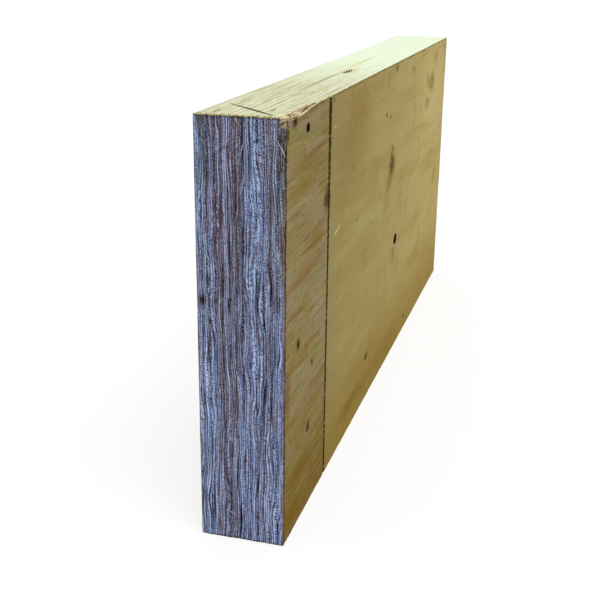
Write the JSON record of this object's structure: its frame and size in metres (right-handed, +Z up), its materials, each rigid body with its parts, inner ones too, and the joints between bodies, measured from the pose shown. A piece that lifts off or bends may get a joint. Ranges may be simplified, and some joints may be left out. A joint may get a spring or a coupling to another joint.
{
  "type": "laminated veneer lumber beam",
  "caption": "Short straight length of laminated veneer lumber standing on its narrow edge, with sawn ends, sawn edges and a jointed face veneer; a structural beam or framing offcut.",
  "frame": {"origin": "middle of the bottom edge, at the centre of the bounding box's underside", "axes": "+X across the plies towards the jointed face, +Y along the grain from the near end to the far end, +Z up the depth of the section"},
  "size_m": [0.045, 0.5, 0.22],
  "materials": {
    "veneer_wood": "sawn and rotary-cut softwood veneer, unfinished, matt"
  },
  "bodies": {
    "root": {"lvl_beam": "veneer_wood"}
  },
  "joints": []
}
